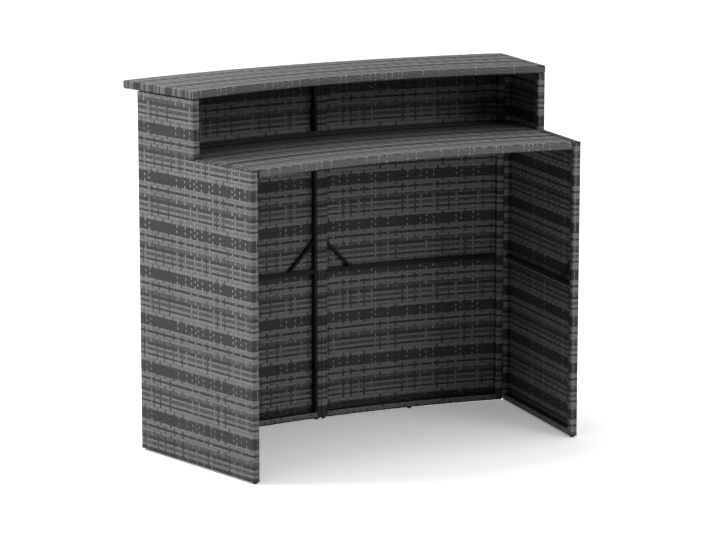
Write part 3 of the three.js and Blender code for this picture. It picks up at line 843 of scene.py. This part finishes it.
def woven_top(name, near, far, end, first_dark):
    """A top between two arcs, whose ends lie at a depth behind the outer faces of the wings."""
    dice = random.Random(name)
    low, high = [point.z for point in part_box(f"{name}_skin")]
    low, high = low + RIM_INSET, high - TOP_INSET
    near = (near[0], near[1] + INSET)
    far = (far[0], far[1] - INSET)
    path = [(TOP_LIP, low), (TOP_INSET, low), (TOP_INSET, high), (TOP_RUN_IN, high)]
    end_columns, end_turns = wound([Vector(point) for point in path], -1)
    end_run = end_columns[-1][2]

    def line(n):
        return meet(*near, end + n), meet(*far, end + n)

    columns = []
    for across, facing, run in end_columns:
        a, b = line(across.x)
        out = Vector((*(into_wing * facing.x), facing.y))
        columns.append((a, b, across.y, out, run))
    a, b = line(TOP_RUN_IN)
    near_arc = arc(*near, a, mirrored(a), TOP_STEPS)
    far_arc = arc(*far, b, mirrored(b), TOP_STEPS)
    run = end_run
    for i in range(1, TOP_STEPS):
        a, b = near_arc[i], far_arc[i]
        run += ((a - near_arc[i - 1]).length + (b - far_arc[i - 1]).length) / 2
        columns.append((a, b, high, Vector((0, 0, 1)), run))
    length = run + (columns[-1][4] - columns[-2][4])
    for across, facing, back in reversed(end_columns):
        a, b = line(across.x)
        out = Vector((*(into_wing * facing.x), facing.y)) * Vector((-1, 1, 1))
        columns.append((mirrored(a), mirrored(b), across.y, out, length + end_run - back))
    whole = columns[-1][4]
    turns = end_turns + [(whole - b, whole - a) for a, b in reversed(end_turns)]
    start, finish = turns[1][1], turns[2][0]
    strands = strands_between(start, finish, TOP_LIGHT_SHARE, dice)
    breadth = (near_arc[TOP_STEPS // 2] - far_arc[TOP_STEPS // 2]).length
    rows = rows_between(0.0, breadth, first_dark, banded=True)
    grid = []
    for a, b, z, out, run in columns:
        # The sheet stops where the round of the long edges begins
        round_in = CORNER * max(1 - math.sqrt((high - z) / CORNER), 0) ** 2
        inward = (b - a).normalized() * round_in
        a, b = a + inward, b - inward
        grid.append([(Vector((*a, z)), out, run, 0.0), (Vector((*b, z)), out, run, breadth)])
    pressed = [(place, wide, LIGHT) for place, wide, tone in strands]
    meshes = [woven_sheet(grid, turns, rows, pressed, False, dice, top_finishes, TOP_SWAY)]
    laid = [c for c in columns if turns[1][0] - TINY <= c[4] <= turns[2][1] + TINY]
    over = high + LAP
    deep = [Vector((TOP_LIP - INSET, low)), Vector((0, low)), Vector((0, over)), Vector((2 * CORNER, over))]
    for edge, circle, corners, side in [(0, near, deep, -1), (1, far, deep[::-1], 1)]:
        spine = []
        for column in laid:
            point = column[edge]
            out = (point - Vector((0, circle[0]))).normalized() * (1 if edge else -1)
            spine.append((point, out, column[4]))
        profile = wound(corners, side)[0]
        rows = plain_rows(0, profile[-1][2], TOP_EDGE_STRIP, *TOP_EDGE_TONES[::-side])
        rows = [(*row[:3], 0.0 if row[2] == LIGHT else row[3]) for row in rows]
        grid = standing(spine, profile)
        for cells, column in zip(grid, laid):
            for cell in cells:
                cell[0].z = min(cell[0].z, column[2] + LAP)
        # The edge sheets take the strip copies painted lighter
        meshes.append(woven_sheet(grid, [], rows, strands, False, dice, edge_finishes_painted_lighter))
    woven_skin(f"{name}_weave", meshes, name, f"{name}_skin")


woven_top(
    "worktop",
    circle_through(wing_point(WING_LENGTH, WORKTOP_END), WORKTOP_NEAR_BOW),
    (front_centre, FRONT_RADIUS - PANEL - WORKTOP_FRONT_GAP),
    end=WORKTOP_END,
    first_dark=0.122,
)
woven_top(
    "counter",
    circle_through(wing_point(WING_UPPER_LENGTH, 0), COUNTER_NEAR_BOW),
    circle_through(wing_point(-COUNTER_OVERHANG, 0), COUNTER_FAR_BOW),
    end=0.0,
    first_dark=0.095,
)


# Studio: a pale floor that runs out of sight under a sky that is brightest overhead. Two broad lamps stand
# on the guests' side at the server's left, one straight behind the guests and one at the server's right.
# The view is from the server's left.
FLOOR_REACH = 60.0
FLOOR_GREY, FLOOR_GLOW = 0.66, 0.10
SEEN_FLOOR_GREY, SEEN_FLOOR_GLOW = 0.98, 0.24
WHITE = (1, 1, 1, 1)
SKY_STRENGTH = 2.30
SKY_POWER = 4.0
LAMP_SIZE = 4.0
LAMP_AIM = Vector((0, 0, 0.6))
SENSOR_WIDTH = 36.0
CAMERA_PLACE = (-4.55428, -7.78243, 2.25421)
CAMERA_TURN = (79.07, 0.0, -30.25)
CAMERA_LENS = 154.09


def glowing(tree, grey, strength):
    """A matt grey that gives off a little light of its own."""
    matt = add(tree, "ShaderNodeBsdfDiffuse", {"Color": (grey, grey, grey, 1)})
    glow = add(tree, "ShaderNodeEmission", {"Color": WHITE, "Strength": strength})
    return add(tree, "ShaderNodeAddShader", {0: matt.outputs[0], 1: glow.outputs[0]}).outputs[0]


def by_ray(tree, light, seen):
    """One shader for the light on other things and another for what the camera sees."""
    ray = add(tree, "ShaderNodeLightPath").outputs["Is Camera Ray"]
    return add(tree, "ShaderNodeMixShader", {0: ray, 1: light, 2: seen}).outputs[0]


floor_mesh = bpy.data.meshes.new("floor")
floor_mesh.from_pydata(
    [(x * FLOOR_REACH, y * FLOOR_REACH, 0.0) for x, y in [(-1, -1), (1, -1), (1, 1), (-1, 1)]],
    [],
    [(0, 1, 2, 3)],
)
floor = put("floor", floor_mesh)
floor_finish = bpy.data.materials.new("pale floor")
floor_finish.use_nodes = True
tree = floor_finish.node_tree
tree.nodes.clear()
grey = glowing(tree, FLOOR_GREY, FLOOR_GLOW)
pale = glowing(tree, SEEN_FLOOR_GREY, SEEN_FLOOR_GLOW)
add(tree, "ShaderNodeOutputMaterial", {"Surface": by_ray(tree, grey, pale)})
floor_mesh.materials.append(floor_finish)

sky = bpy.data.worlds.new("white sky")
sky.use_nodes = True
tree = sky.node_tree
tree.nodes.clear()
heading = add(tree, "ShaderNodeTexCoord").outputs["Generated"]
level = add(tree, "ShaderNodeSeparateXYZ", {0: heading}).outputs["Z"]
for operation, value in [("MAXIMUM", 0.0), ("POWER", SKY_POWER), ("MULTIPLY", SKY_STRENGTH)]:
    level = add(tree, "ShaderNodeMath", {0: level, 1: value}, operation=operation).outputs[0]
overhead = add(tree, "ShaderNodeBackground", {"Color": WHITE, "Strength": level}).outputs[0]
white = add(tree, "ShaderNodeBackground", {"Color": WHITE, "Strength": 1.0}).outputs[0]
add(tree, "ShaderNodeOutputWorld", {"Surface": by_ray(tree, overhead, white)})
bpy.context.scene.world = sky

for name, place, power in [
    ("high back lamp", Vector((-4.5, 3.0, 7.0)), 405.0),
    ("low back lamp", Vector((-6.5, 3.5, 2.5)), 113.0),
    ("front lamp", Vector((3.0, -6.4, 3.8)), 120.0),
    ("far lamp", Vector((0.8, 6.5, 4.5)), 120.0),
]:
    lamp = bpy.data.lights.new(name, "AREA")
    lamp.shape = "DISK"
    lamp.size = LAMP_SIZE
    lamp.energy = power
    stand = put(name, lamp)
    stand.location = place
    stand.rotation_euler = (LAMP_AIM - place).to_track_quat("-Z", "Y").to_euler()

lens = bpy.data.cameras.new("camera")
lens.sensor_width = SENSOR_WIDTH
lens.lens = CAMERA_LENS
camera = put("camera", lens)
camera.location = CAMERA_PLACE
camera.rotation_euler = [math.radians(turn) for turn in CAMERA_TURN]
bpy.context.scene.camera = camera
bpy.context.scene.view_settings.view_transform = "Standard"
